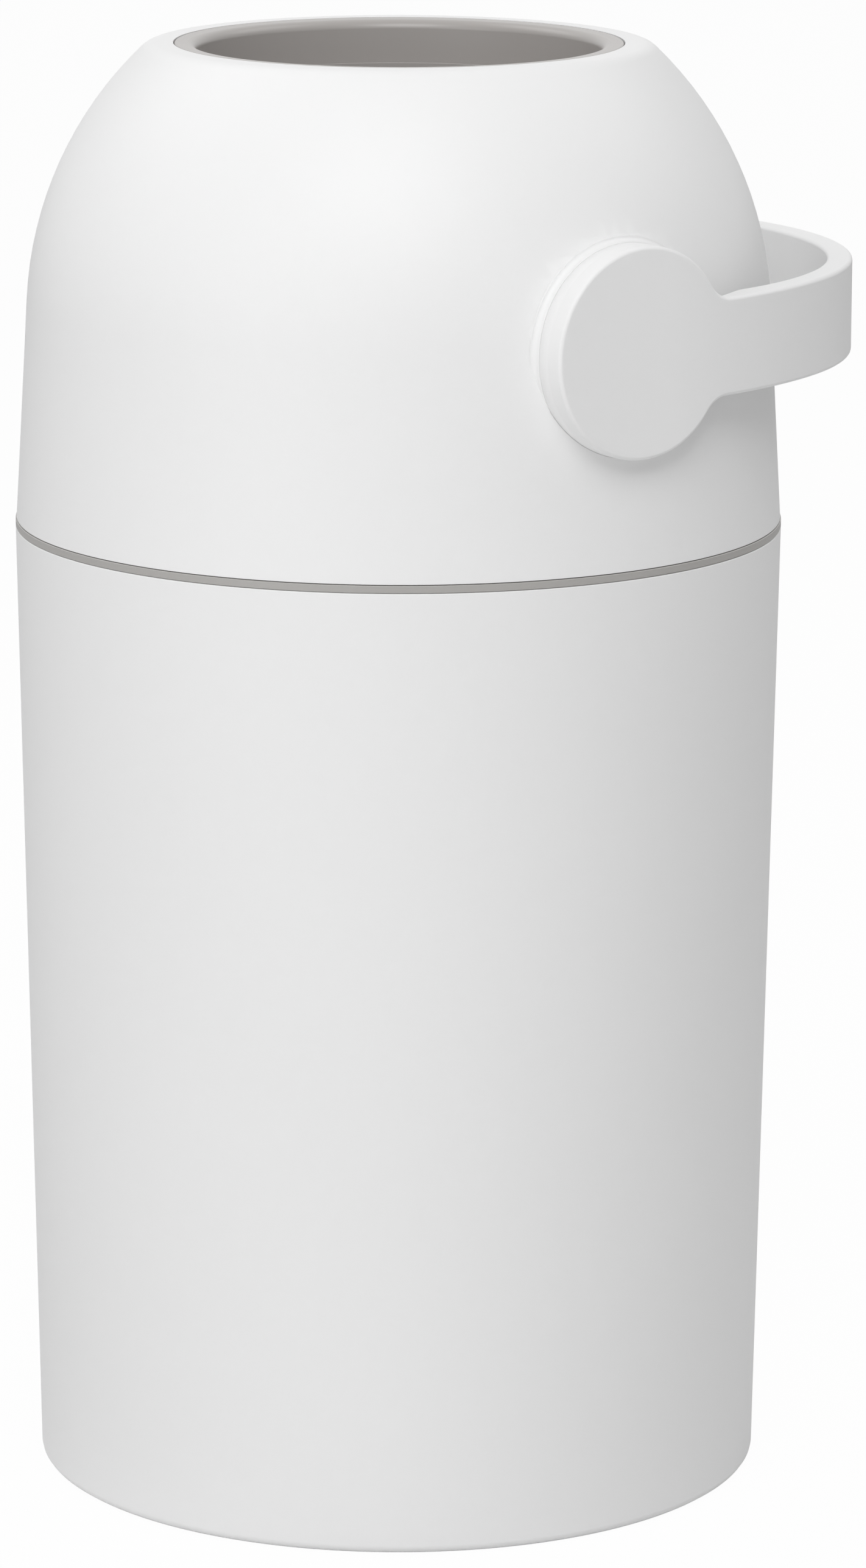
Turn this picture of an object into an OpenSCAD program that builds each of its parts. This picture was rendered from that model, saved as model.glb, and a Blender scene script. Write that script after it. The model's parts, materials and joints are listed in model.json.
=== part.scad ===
// Nappy bin with a tumbling drum. A used nappy is dropped through the inlet into the drum,
// the bail is flipped over to the other side, and the drum turns upside down with it: its
// piston slides to the far end, pushes the nappy down into the bin and closes the outlet.
// Millimetres, +Z up, origin on the bin's axis at floor level, discs facing -Y and +Y,
// bail resting towards +X.

/* [Bin] */
// How far the bin's rim stands out past the drum's ball
pivot_room = 32.5; // [30:0.5:45]
// How much narrower the bin's radius is at the floor
bin_taper = 6; // [2:0.5:12]
// Height of the bin's rim above the floor
bin_h = 327.3; // [280:1:420]
// Wall of the bin
bin_wall = 2.8; // [2:0.1:3.6]
// Thickness of the bin's floor
bin_floor = 3.5; // [2.5:0.1:6]
// Rounding between the bin's wall and its underside
foot_round = 3; // [1:0.5:6]

/* [Bag ring] */
// Height of the band that shows between bin and dome
band_h = 2.9; // [2.6:0.1:6]
// Depth of the skirt that holds the bag's cuff against the bin
skirt_h = 16; // [10:1:30]
// Wall of the skirt
skirt_wall = 2.4; // [1.8:0.1:3.2]
// Room for the bag's film between skirt and bin, on the radius
film_gap = 0.5; // [0.3:0.1:1.2]
// Width of the sealing ring under the dome's foot
ring_seal_w = 2.2; // [1.6:0.1:2.6]
// Depth of the sealing ring's groove
ring_seal_h = 1.6; // [1:0.1:1.8]

/* [Dome] */
// Wall of the dome
dome_wall = 2.8; // [2.2:0.1:3.4]
// Draft of the dome's straight lower part, in degrees
dome_draft = 3.2; // [1.5:0.1:4.5]
// How far the dome's foot stays inside the band's edge
foot_inset = 0.3; // [0.1:0.1:1]
// Width of the bead along the dome's foot
foot_bead_w = 5; // [4.4:0.1:6]
// Height of the bead along the dome's foot
foot_bead_h = 4.8; // [3:0.1:8]
// How far the crown's centre lies below the handle's axis
crown_drop = 4.6; // [0:0.1:8]
// Rounding at the dome's upper rim
crown_round = 7; // [5:0.5:10]

/* [Inlet collar] */
// Inner radius of the collar
collar_r = 68; // [60:0.5:76]
// Height of the collar over the drum's mouth
collar_rise = 16.8; // [15:0.1:26]
// Wall of the collar
collar_wall = 2.6; // [2:0.1:3]
// Width of the collar's lip, from its bore to its outer edge
lip_w = 7.4; // [6:0.1:9]
// Thickness of the lip
lip_t = 2.2; // [1.6:0.1:2.6]
// How much the lip slopes down towards the bore
lip_drop = 0.3; // [0:0.05:0.6]
// Rounding from the lip into the bore
lip_round = 3; // [2:0.1:4]
// Gap between lip and dome
lip_gap = 0.4; // [0.2:0.05:0.8]
// Wall of the dome's neck, in which the collar hangs
neck_wall = 2.6; // [2:0.1:3.5]

/* [Drum] */
// How much narrower the drum's bore is than the collar, on the radius
bore_step = 2; // [1.5:0.1:3]
// Height of the bore's mouth above the handle's axis
mouth_rise = 71.8; // [66:0.2:78]
// How far the seat's cup hangs below the dome's foot
cup_drop = 2.2; // [1:0.1:8]
// Wall of the sleeve
sleeve_wall = 3; // [2.4:0.1:3.4]
// Width of the lip that stops the piston
stop_lip = 3; // [2:0.1:4]
// Depth of each stop below the mouth of the bore
stop_depth = 5.8; // [4:0.1:9]
// Wall of the drum's side shells
shell_wall = 2.5; // [2:0.1:3.2]
// Gap between ball and collar, and between ball and seat
ball_gap = 0.5; // [0.4:0.05:0.9]
// Gap between ball and sealing rings
wiper_gap = 0.3; // [0.25:0.05:0.4]

/* [Pivots] */
// Radius of the drum's journals
journal_r = 13; // [11:0.5:14]
// Running clearance of a journal in its bush, on the radius
journal_gap = 0.05; // [0.03:0.01:0.09]
// Wall of a bush
bush_wall = 4; // [3:0.25:5]
// Width of a bush's flange
bush_flange_w = 5.5; // [5.2:0.1:7]
// Thickness of a bush's flange
bush_flange_t = 1.8; // [1.4:0.1:2.2]
// Room round each disc in its pad, on the radius
disc_room = 0.4; // [0.3:0.1:1]
// Height of a pad's face over the dome at its centre
pad_proud = 0.2; // [0:0.1:1.5]
// Fillet round each pad
pad_fillet = 1.5; // [0.5:0.1:4]

/* [Handle] */
// Radius of the discs
disc_r = 34.9; // [33:0.1:36]
// Thickness of the discs
disc_t = 7.6; // [6.5:0.1:9]
// Depth of the rim behind each disc, which sits in a channel of its pad
rim_depth = 3; // [2:0.1:3.5]
// Wall of that rim
rim_wall = 1.8; // [1.4:0.1:2.4]
// Gap between a disc and its pad
disc_gap = 0.4; // [0.3:0.1:1]
// Height of the bail
bail_h = 32.4; // [24:0.2:38]
// How far the bail's middle lies below the discs' centres
bail_drop = 1.3; // [0:0.1:3]
// Finger room between dome and bail
grip_gap = 25.9; // [20:0.1:40]
// Thickness of the bail at its nose
nose_t = 8.6; // [7:0.1:14]
// How much smaller the nose's radius is than a disc face's distance from the axis
face_to_nose = 5; // [3:0.5:8]
// How far the arms' inner curve steps in from the discs' backs
arm_step = 5.9; // [4:0.1:7]
// How far the flat of the discs reaches towards the nose
face_flat = 10; // [4:1:16]
// Fillet between disc and arm
arm_fillet = 11; // [6:1:16]

/* [Piston] */
// Height of the piston
piston_h = 26; // [24:1:34]
// Gap between piston and stops, on the radius
piston_gap = 0.6; // [0.4:0.1:1]
// Wall of the piston's halves
piston_wall = 2.4; // [2:0.1:3]
// Radius of the steel weight
weight_r = 36; // [26:1:38]
// Thickness of the steel weight
weight_t = 7; // [4:0.5:9]

/* [Hidden] */
$fn = 128;
fine = 256;                // facets of the bail's large arcs
far = 400;                 // longer than anything that it cuts
past = 1;                  // how far a cut runs on past what it cuts
sink = 1;                  // how far a joined piece sinks into its neighbour
eps = 0.01;

white = [0.93, 0.93, 0.92];
light_grey = [0.76, 0.76, 0.75];
band_grey = [0.64, 0.63, 0.62];
rubber_grey = [0.35, 0.35, 0.36];
steel = [0.62, 0.63, 0.65];

// Drum: its outside follows a ball through the edge of the bore's mouth
bore_r = collar_r - bore_step;
ball_r = norm([bore_r, mouth_rise]);
seal_over = 1.2;                               // from the mouth to the drum seals' outer ends
seal_rise = mouth_rise + seal_over;

// Heights
seat_play = 1;                                 // under the seat's seal
band_z = bin_h + band_h;                       // top of the band, where the dome stands
cup_floor_z = band_z - cup_drop;
pivot_z = cup_floor_z + seat_play + seal_rise;
crown_z = pivot_z - crown_drop;
top_z = pivot_z + mouth_rise + collar_rise;

// Bin
bin_rim_r = ball_r + pivot_room;
bin_lean = atan(bin_taper / bin_h);
inner_round = foot_round + 1;                  // between the bin's wall and its floor, inside
function bin_r_at(z) = bin_rim_r - (bin_h - z) * tan(bin_lean);
function bin_inner_r_at(z) = bin_r_at(z) - bin_wall / cos(bin_lean);

// Bag ring: its skirt hangs inside the bin, the spigot of the seat frame inside the skirt
skirt_r = bin_inner_r_at(bin_h - skirt_h) - film_gap;
skirt_inner_r = skirt_r - skirt_wall;
spigot_gap = 0.4;
spigot_r = skirt_inner_r - spigot_gap;
spigot_wall = 2.4;
spigot_end = 0.5;                              // from the bin's rim up to the spigot's end

// Dome: a cone that runs on into a ball crown
foot_r = bin_rim_r - foot_inset;
crown_r = foot_r * cos(dome_draft) - (crown_z - band_z) * sin(dome_draft);
function dome_r_at(z) = (crown_r - (z - crown_z) * sin(dome_draft)) / cos(dome_draft);
foot_bead_r = foot_r - foot_bead_w;
ring_seal_gap = 0.1;
ring_seal_r = foot_bead_r + (foot_bead_w - ring_seal_w) / 4;

// Collar and neck
lip_r = collar_r + lip_w;
lip_seat_z = top_z - lip_t;
neck_gap = 0.6;
neck_r = collar_r + collar_wall + neck_gap;    // inner radius of the neck and of the drum seals
neck_ledge_t = 2.6;
seal_w = 4.2;
seal_fit = 0.2;                                // room round a drum seal
snap_count = 4;
snap_w = 7;
snap_h = 3.4;
snap_hook = 2;
snap_reach = neck_gap + snap_hook;             // from the collar's wall into the window
snap_over = 5;                                 // from the neck's end up to the windows
snap_rise = seal_rise + snap_over;
snap_gap = 0.3;

// Seat frame
seat_gap = 0.4;                                // from the plate to the dome's bead
plate_r = foot_bead_r - seat_gap;
plate_t = 2.6;
plate_lift = 1;
plate_z = band_z + plate_lift;
spigot_z = bin_h + spigot_end;                 // clear of the bin, which would catch it
cup_wall = 2.4;
cup_r = neck_r + seal_w + seal_fit + cup_wall;
cup_floor_t = 2.4;
rib_count = 8;
rib_t = 2;
frame_screw_count = 4;
frame_screw_in = 8;                            // from the spigot in to the screws
frame_screw_r = spigot_r - spigot_wall - frame_screw_in;
frame_screw_len = 14;
frame_boss_r = 5;
frame_boss_h = 18;
boss_roof = 2;                                 // left over the end of a screw hole

// Fasteners: shank radius, head radius, head height
m4 = [2, 3.8, 2.4];
m35 = [1.75, 3.3, 2.2];
m3 = [1.4, 2.5, 1.1];
thread_gap = 0.05;                             // between a shank and its hole
head_gap = 0.3;                                // round a sunk head

// Drum
sleeve_r = bore_r + sleeve_wall;
stop_h = mouth_rise - stop_depth;              // height of the stop's face over the axis
stop_r = bore_r - stop_lip;
rebate = 1.6;                                  // the loose stop ring sits in this
shell_gap = 0.1;
shell_r = sleeve_r + shell_gap;
shell_lip_w = 2.2;
shell_lip_h = 8;
shell_boss_r = 4.5;
shell_boss_in = 11.8;                          // from the ball in to a boss's axis
shell_boss_depth = 14;
shell_screw_z = 25;
shell_screw_x = sqrt(pow(ball_r - shell_boss_in, 2) - pow(shell_screw_z, 2));
shell_screw_seat = 8;
shell_screw_len = shell_screw_seat + shell_boss_depth - boss_roof - 1;

// Pivot stack, as distances from the bin's axis along Y
spacer_len = 5.6;                              // from the sleeve out to the shells' hubs
seat_out = 4.5;                                // from the ball out to the hub screw's seat
stop_out = 1.5;                                // from the ball out to the turn stop
journal_sink = 9.5;                            // from the pad's face in to a journal's end
bush_len = 19;
pad_y = dome_r_at(pivot_z) + pad_proud;
pad_r = disc_r + disc_room;
channel_r = disc_r - rim_wall - disc_room;     // inner radius of the channel for the disc's rim
disc_back = pad_y + disc_gap;
face_y = disc_back + disc_t;
hub_start = sleeve_r + spacer_len;
hub_bore_r = 4.6;
hub_seat = ball_r + seat_out;
hub_end = pad_y - journal_sink;
bush_start = pad_y - bush_len;
stop_start = ball_r + stop_out;
lug_play = 1;
lug_end = bush_start - lug_play;
lug_reach = 8;
lug_r = journal_r + lug_reach;
lug_t = 6;
lug_gap = 0.1;
bush_r = journal_r + bush_wall;
bush_fit = 0.1;
bush_boss_wall = 7;
bush_boss_r = bush_r + bush_boss_wall;
bush_boss_y = hub_end + 1;
pad_depth = 8;                                 // how far the pad reaches in from its face
pad_edge_h = rim_depth + 1;                    // plain edge of the pad over its fillet
rest_gap = 0.6;
rest_r = bush_r + rest_gap;                    // inner radius of the fixed half ring
rest_wall = 4.4;
key_w = 9.6;
key_gap = 0.1;
key_len = 8;
stub_gap = 0.1;
stub_r = journal_r - stub_gap;
hub_screw_bite = 1.6;                          // how far the hub screw reaches into the disc
hub_screw_end = disc_back + hub_screw_bite;
plug_len = 5;
bush_screw_count = 3;
bush_screw_out = 2.6;                          // from the bush's wall out to its screws
bush_screw_r = bush_r + bush_screw_out;
bush_screw_len = 7;

// Bail, seen from above
bail_reach = dome_r_at(pivot_z) + grip_gap + nose_t;
nose_r = face_y - face_to_nose;
nose_x = bail_reach - nose_r;
side_r = (pow(nose_x - face_flat, 2) + face_y * face_y - nose_r * nose_r) / (2 * face_to_nose);
side_join_x = face_flat + side_r * (nose_x - face_flat) / (side_r - nose_r);
inner_r = disc_back - arm_step;
inner_x = bail_reach - nose_t - inner_r;
pad_clear = 1.5;                               // the arm leaves the disc's plane past the pad
pad_clear_x = pad_r + pad_clear;
bevel_over = 1.8;                              // how far the arm's bevel runs on past its curve
bevel_pitch = 1.8;                             // run of the bevel for each millimetre of depth
bevel_depth = arm_step + bevel_over;
fillet_bite = 0.03;                            // how far the fillet cuts into the disc's edge
// Centres of the fillets from disc to arm: s is 1 above the arm and -1 below it
function fillet_z(s) = s * (bail_h / 2 + arm_fillet + fillet_bite) - bail_drop;
function fillet_x(s) = sqrt(pow(disc_r + arm_fillet, 2) - pow(fillet_z(s), 2));

// Piston
piston_r = stop_r - piston_gap;
piston_z = pivot_z - stop_h;                   // its underside rests on the lower stop
split_h = piston_h / 2;
piston_floor = 2.5;
piston_round = 2.5;
groove_h = 5;
groove_depth = 4.4;
groove_gap = 0.1;
piston_seal_gap = 0.3;                         // between the seal's lips and the bore
piston_seal_r = bore_r - piston_seal_gap;
seal_lip_h = 1.4;
seal_valley = 1.2;                             // how far the seal stands out between its lips
piston_screw_count = 3;
piston_screw_out = 8;                          // from the weight's edge out to the screws
piston_screw_r = weight_r + piston_screw_out;
piston_boss_r = 4.6;
piston_screw_len = 14;
head_depth = 0.6;                              // from the piston's face in to a screw's head
piston_screw_sink = m35[2] + head_depth;
weight_gap = 0.2;
weight_fence = 1.6;

// ---- shared shapes ----

// Half section of a cup: outer radius r0 at height z0, leaning out, rounded at its foot
module cup_section(r0, z0, z1, lean, f) {
    cx = r0 + f * tan(lean) - f / cos(lean);
    polygon([[0, z0], [cx, z0], [cx + f * cos(lean), z0 + f - f * sin(lean)],
             [r0 + (z1 - z0) * tan(lean), z1], [0, z1]]);
    translate([cx, z0 + f]) circle(r = f);
}

// Half section of the dome, t inside its outer face
module dome_section(t) {
    r = crown_r - t;
    f = crown_round - t;
    fz = top_z - crown_round;
    fx = sqrt(pow(crown_r - crown_round, 2) - pow(fz - crown_z, 2));
    reach = 1.3 * r / (crown_r - crown_round);         // a corner well outside the crown
    foot = (r + (crown_z - band_z) * sin(dome_draft)) / cos(dome_draft);
    polygon([[0, band_z], [foot, band_z],
             [r * cos(dome_draft), crown_z + r * sin(dome_draft)],
             [0, crown_z + r * sin(dome_draft)]]);
    intersection() {
        translate([0, crown_z]) circle(r = r);
        polygon([[0, crown_z], [fx * reach, crown_z + (fz - crown_z) * reach],
                 [2 * r, crown_z + (fz - crown_z) * reach], [2 * r, crown_z]]);
    }
    polygon([[0, crown_z], [fx, fz], [fx, top_z - t], [0, top_z - t]]);
    translate([fx, fz]) circle(r = f);
}

// Half section of a ring between two radii and two heights
module box_section(r0, r1, z0, z1)
    translate([r0, z0]) square([r1 - r0, z1 - z0]);

// Places a child on the pivot axis: its z is the distance from the bin's axis along Y
module on_front()
    translate([0, 0, pivot_z]) rotate([90, 0, 0]) children();

module on_rear()
    mirror([0, 1, 0]) on_front() children();

module tube(r_out, r_in, z0, z1)
    translate([0, 0, z0]) difference() {
        cylinder(r = r_out, h = z1 - z0);
        translate([0, 0, -1]) cylinder(r = r_in, h = z1 - z0 + 2);
    }

module rod(r, z0, z1)
    translate([0, 0, z0]) cylinder(r = r, h = z1 - z0);

// Copies a child round an axis
module round_axis(count, first = 0)
    for (i = [0 : count - 1]) rotate([0, 0, first + i * 360 / count]) children();

// A screw along Z: head from z = 0 down, shank up to len
module screw(size, len) {
    rod(size[1], -size[2], 0);
    rod(size[0], -eps, len);
}

module on_pivot() translate([0, 0, pivot_z]) children();

// ---- bin ----

module bin_body() color(white)
    rotate_extrude() difference() {
        cup_section(bin_r_at(0), 0, bin_h, bin_lean, foot_round);
        cup_section(bin_inner_r_at(bin_floor), bin_floor, bin_h, bin_lean, inner_round);
        box_section(0, bin_inner_r_at(bin_h), bin_h - eps, bin_h + 1);
    }

// ---- bag ring ----

module bag_ring() color(band_grey)
    rotate_extrude() difference() {
        union() {
            box_section(skirt_inner_r, bin_rim_r, bin_h, band_z);
            box_section(skirt_inner_r, skirt_r, bin_h - skirt_h, band_z);
        }
        box_section(ring_seal_r, ring_seal_r + ring_seal_w, band_z - ring_seal_h, band_z + 1);
    }

module ring_seal() color(rubber_grey)
    rotate_extrude()
        box_section(ring_seal_r + ring_seal_gap, ring_seal_r + ring_seal_w - ring_seal_gap,
                    band_z - ring_seal_h, band_z);

// ---- dome ----

module dome_wall_section()
    difference() {
        union() {
            difference() {
                dome_section(0);
                dome_section(dome_wall);
            }
            box_section(foot_bead_r, foot_r - dome_wall, band_z, band_z + foot_bead_h);
            box_section(neck_r, lip_r + lip_gap + dome_wall, lip_seat_z - neck_ledge_t, lip_seat_z);
            box_section(neck_r, neck_r + neck_wall, pivot_z + seal_rise, lip_seat_z);
        }
        box_section(0, lip_r + lip_gap, lip_seat_z, top_z + 1);
        box_section(0, neck_r, band_z - 1, top_z + 1);
    }

// Pad under a disc, with a fillet down to the dome: child frame of on_front()
module pad_blend() {
    blend_y = pad_y - pad_edge_h;
    rotate_extrude() {
        box_section(0, pad_r, pad_y - pad_depth, pad_y);
        difference() {
            box_section(0, pad_r + pad_fillet, pad_y - pad_depth, blend_y);
            translate([pad_r + pad_fillet, blend_y]) circle(r = pad_fillet);
        }
    }
}

// Boss in the dome for a screw of the seat frame, tied to the wall by a rib
module frame_boss() {
    z0 = plate_z + plate_t;
    translate([frame_screw_r, 0, z0]) cylinder(r = frame_boss_r, h = frame_boss_h);
    translate([frame_screw_r, -rib_t / 2, z0])
        cube([foot_bead_r + sink - frame_screw_r, rib_t, frame_boss_h]);
}

// Half ring that stops the drum's lug at both ends of its turn
module turn_stop()
    intersection() {
        tube(rest_r + rest_wall, rest_r, stop_start, pad_y - dome_wall);
        translate([-far / 2, lug_t / 2 + lug_gap, 0]) cube([far, far, far]);
    }

module pivot_solids() {
    pad_blend();
    rod(bush_boss_r, bush_boss_y, pad_y - sink);
}

module pivot_cuts() {
    rod(pad_r, pad_y, pad_y + pad_depth);
    tube(pad_r, channel_r, pad_y - rim_depth, pad_y + past);
    tube(channel_r - dome_wall, bush_boss_r, stop_start, pad_y - dome_wall);
    rod(bush_boss_r + eps, stop_start, bush_boss_y);
    rod(bush_r + bush_fit, stop_start, pad_y + past);
    rod(bush_r + bush_flange_w + bush_fit, pad_y - bush_flange_t, pad_y + past);
}

module bush_screw_holes()
    round_axis(bush_screw_count, 90)
        translate([bush_screw_r, 0, 0])
            rod(m3[0] + thread_gap, pad_y - bush_flange_t - bush_screw_len - past, pad_y);

module dome_shell() color(white)
    difference() {
        union() {
            difference() {
                union() {
                    rotate_extrude() dome_wall_section();
                    on_front() pivot_solids();
                    on_rear() pivot_solids();
                }
                on_front() pivot_cuts();
                on_rear() pivot_cuts();
            }
            on_front() turn_stop();
            on_rear() turn_stop();
            round_axis(frame_screw_count, 45) frame_boss();
        }
        round_axis(frame_screw_count, 45)
            translate([frame_screw_r, 0, 0])
                rod(m4[0] + thread_gap, plate_z, plate_z + plate_t + frame_boss_h - boss_roof);
        on_front() bush_screw_holes();
        on_rear() bush_screw_holes();
        round_axis(snap_count, 0)
            translate([neck_r - past, -snap_w / 2 - snap_gap, pivot_z + snap_rise - snap_gap])
                cube([neck_wall + 2 * past, snap_w + 2 * snap_gap, snap_h + 2 * snap_gap]);
    }

// ---- inlet ----

module collar_section()
    difference() {
        polygon([[collar_r, pivot_z], [collar_r + collar_wall, pivot_z],
                 [collar_r + collar_wall, lip_seat_z], [lip_r, lip_seat_z], [lip_r, top_z],
                 [collar_r + lip_round, top_z - lip_drop], [collar_r, top_z - lip_drop]]);
        difference() {
            box_section(collar_r - past, collar_r + lip_round,
                        top_z - lip_drop - lip_round, top_z);
            translate([collar_r + lip_round, top_z - lip_drop - lip_round])
                circle(r = lip_round);
        }
        translate([0, pivot_z]) circle(r = ball_r + ball_gap);
    }

module inlet_collar() color(light_grey) {
    rotate_extrude() collar_section();
    round_axis(snap_count, 0)
        translate([collar_r + collar_wall / 2, -snap_w / 2, pivot_z + snap_rise])
            cube([collar_wall / 2 + snap_reach, snap_w, snap_h]);
}

// Half section of a sealing ring that lies close to the ball, above its axis
module wiper_section()
    difference() {
        box_section(neck_r, neck_r + seal_w, pivot_z, pivot_z + seal_rise);
        translate([0, pivot_z]) circle(r = ball_r + wiper_gap);
    }

module collar_seal() color(rubber_grey)
    rotate_extrude() wiper_section();

// ---- seat ----

module seat_section()
    difference() {
        union() {
            box_section(cup_r - cup_wall, plate_r, plate_z, plate_z + plate_t);
            box_section(cup_r - cup_wall, cup_r, cup_floor_z - cup_floor_t, plate_z + plate_t);
            box_section(collar_r, cup_r, cup_floor_z - cup_floor_t, cup_floor_z);
            box_section(collar_r, collar_r + collar_wall, cup_floor_z - cup_floor_t, pivot_z);
            box_section(spigot_r - spigot_wall, spigot_r, spigot_z, plate_z + plate_t);
        }
        translate([0, pivot_z]) circle(r = ball_r + ball_gap);
    }

module seat_frame() color(light_grey)
    difference() {
        union() {
            rotate_extrude() seat_section();
            round_axis(rib_count, 180 / rib_count)
                translate([cup_r - sink, -rib_t / 2, cup_floor_z])
                    cube([spigot_r - spigot_wall - cup_r + 2 * sink, rib_t,
                          plate_z - cup_floor_z + sink]);
        }
        round_axis(frame_screw_count, 45)
            translate([frame_screw_r, 0, 0])
                rod(m4[0] + head_gap, plate_z - past, plate_z + plate_t + past);
    }

module seat_seal() color(rubber_grey)
    translate([0, 0, 2 * pivot_z]) mirror([0, 0, 1])
        rotate_extrude() wiper_section();

module frame_screws() color(steel)
    round_axis(frame_screw_count, 45)
        translate([frame_screw_r, 0, plate_z]) screw(m4, frame_screw_len);

// ---- bushes ----

module bush() color(light_grey)
    difference() {
        union() {
            rod(bush_r, bush_start, pad_y);
            rod(bush_r + bush_flange_w, pad_y - bush_flange_t, pad_y);
        }
        rod(journal_r + journal_gap, bush_start - past, pad_y + past);
        round_axis(bush_screw_count, 90) translate([bush_screw_r, 0, 0]) {
            rod(m3[1] + thread_gap, pad_y - m3[2], pad_y + past);
            rod(m3[0] + thread_gap, bush_start - past, pad_y);
        }
    }

module front_bush() on_front() bush();

module rear_bush() on_rear() bush();

module bush_screw_set()
    round_axis(bush_screw_count, 90)
        translate([bush_screw_r, 0, pad_y - m3[2]]) mirror([0, 0, 1]) screw(m3, bush_screw_len);

module bush_screws() color(steel) {
    on_front() bush_screw_set();
    on_rear() bush_screw_set();
}

// ---- drum ----

module ball(r) on_pivot() sphere(r = r);

module drum_sleeve() color(light_grey)
    difference() {
        union() {
            intersection() {
                ball(ball_r);
                on_pivot() rod(sleeve_r, -ball_r, ball_r);
            }
            for (turn = [0, 180]) rotate([0, 0, turn])
                on_front() rod(2 * hub_bore_r, bore_r + sink, hub_start - shell_gap);
        }
        on_pivot() rod(bore_r, -stop_h, stop_h);
        on_pivot() rod(stop_r, -ball_r, ball_r);
        on_pivot() rod(sleeve_r - rebate + eps, stop_h, ball_r);
        on_front() rod(hub_bore_r, 0, ball_r);
        on_rear() rod(hub_bore_r, 0, ball_r);
    }

module stop_ring() color(light_grey)
    difference() {
        intersection() {
            ball(ball_r);
            on_pivot() rod(sleeve_r - rebate - shell_gap, stop_h, ball_r);
        }
        on_pivot() rod(stop_r, 0, ball_r);
    }

// Places a child at each shell screw, its z along the screw towards the front
module at_shell_screws()
    for (sx = [-1, 1], sz = [-1, 1])
        translate([sx * shell_screw_x, sz * shell_screw_z, 0]) children();

// Rib from a screw boss out to the shell, in the child frame of on_front()
module boss_ribs(z0, z1)
    for (sx = [-1, 1], sz = [-1, 1])
        rotate([0, 0, atan2(sz * shell_screw_z, sx * shell_screw_x)])
            translate([norm([shell_screw_x, shell_screw_z]), -rib_t / 2, z0])
                cube([ball_r - norm([shell_screw_x, shell_screw_z]), rib_t, z1 - z0]);

// One side of the drum, in the child frame of on_front(): shell, hub and stop lug
module shell_side()
    intersection() {
        sphere(r = ball_r);
        translate([-far / 2, -far / 2, 0]) cube([far, far, far]);
        difference() {
            union() {
                difference() {
                    sphere(r = ball_r);
                    sphere(r = ball_r - shell_wall);
                }
                for (s = [-1, 1]) rotate([90 * s, 0, 0])
                    tube(shell_r + shell_lip_w, shell_r, mouth_rise - shell_lip_h, ball_r);
            }
            rotate([90, 0, 0]) rod(shell_r, -far, far);
        }
    }

module hub_solid() {
    rod(journal_r, hub_start, hub_end);
    translate([-lug_r, -lug_t / 2, stop_start]) cube([lug_r, lug_t, lug_end - stop_start]);
}

module hub_cuts() {
    key_hole = key_w + 2 * key_gap;
    rod(hub_bore_r, hub_start - past, hub_seat);
    rod(m4[0] + thread_gap, hub_start - past, hub_end + past);
    translate([-key_hole / 2, -key_hole / 2, hub_end - key_len - key_gap])
        cube([key_hole, key_hole, key_len + past]);
}

module drum_shell_front() color(white)
    on_front() difference() {
        union() {
            shell_side();
            hub_solid();
            intersection() {
                sphere(r = ball_r - eps);
                union() {
                    at_shell_screws() rod(shell_boss_r, 0, shell_boss_depth);
                    boss_ribs(0, shell_boss_depth);
                }
            }
        }
        hub_cuts();
        at_shell_screws() rod(m35[0] + thread_gap, -past, shell_boss_depth - boss_roof);
    }

module drum_shell_rear() color(white)
    on_rear() difference() {
        union() {
            shell_side();
            hub_solid();
            intersection() {
                sphere(r = ball_r);
                union() {
                    at_shell_screws() rod(shell_boss_r, 0, ball_r);
                    boss_ribs(0, shell_boss_depth);
                }
            }
        }
        hub_cuts();
        at_shell_screws() rod(m35[0] + thread_gap, -past, ball_r);
        at_shell_screws() rod(m35[1] + head_gap, shell_screw_seat, ball_r);
    }

module shell_screws() color(steel)
    on_rear() at_shell_screws()
        translate([0, 0, shell_screw_seat]) mirror([0, 0, 1]) screw(m35, shell_screw_len);

// ---- handle ----

// Seen from above: the discs' flats, the sides that curve in, and the nose
module bail_outline() {
    translate([-pad_r, -face_y]) square([pad_r + face_flat, 2 * face_y]);
    intersection() {
        translate([face_flat, face_y - side_r]) circle(r = side_r, $fn = fine);
        translate([face_flat, side_r - face_y]) circle(r = side_r, $fn = fine);
        translate([face_flat, -far / 2]) square([side_join_x - face_flat, far]);
    }
    intersection() {
        translate([nose_x, 0]) circle(r = nose_r, $fn = fine);
        translate([side_join_x, -far / 2]) square([far, far]);
    }
}

module bail_inside() {
    translate([inner_x, 0]) circle(r = inner_r, $fn = fine);
    translate([-far, -inner_r]) square([far + inner_x, 2 * inner_r]);
    foot = pad_clear_x + bevel_pitch * bevel_depth;
    polygon([[-far, -disc_back], [pad_clear_x, -disc_back], [foot, bevel_depth - disc_back],
             [foot, disc_back - bevel_depth], [pad_clear_x, disc_back], [-far, disc_back]]);
}

// Seen from the side: disc and arm, with the corners that the fillets hollow out
module handle_side() {
    circle(r = disc_r);
    translate([0, -bail_h / 2 - bail_drop]) square([bail_reach + past, bail_h]);
    polygon([[0, 0], [fillet_x(-1), fillet_z(-1)], [fillet_x(-1), 0], [fillet_x(1), 0],
             [fillet_x(1), fillet_z(1)]]);
}

// What stands on a disc's back: the rim, and the stub with its key
module disc_back_parts() {
    tube(disc_r, disc_r - rim_wall, disc_back - rim_depth, disc_back + sink);
    rod(stub_r, hub_end + key_gap, disc_back + eps);
    translate([-key_w / 2, -key_w / 2, hub_end - key_len]) cube([key_w, key_w, key_len + sink]);
}

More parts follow.
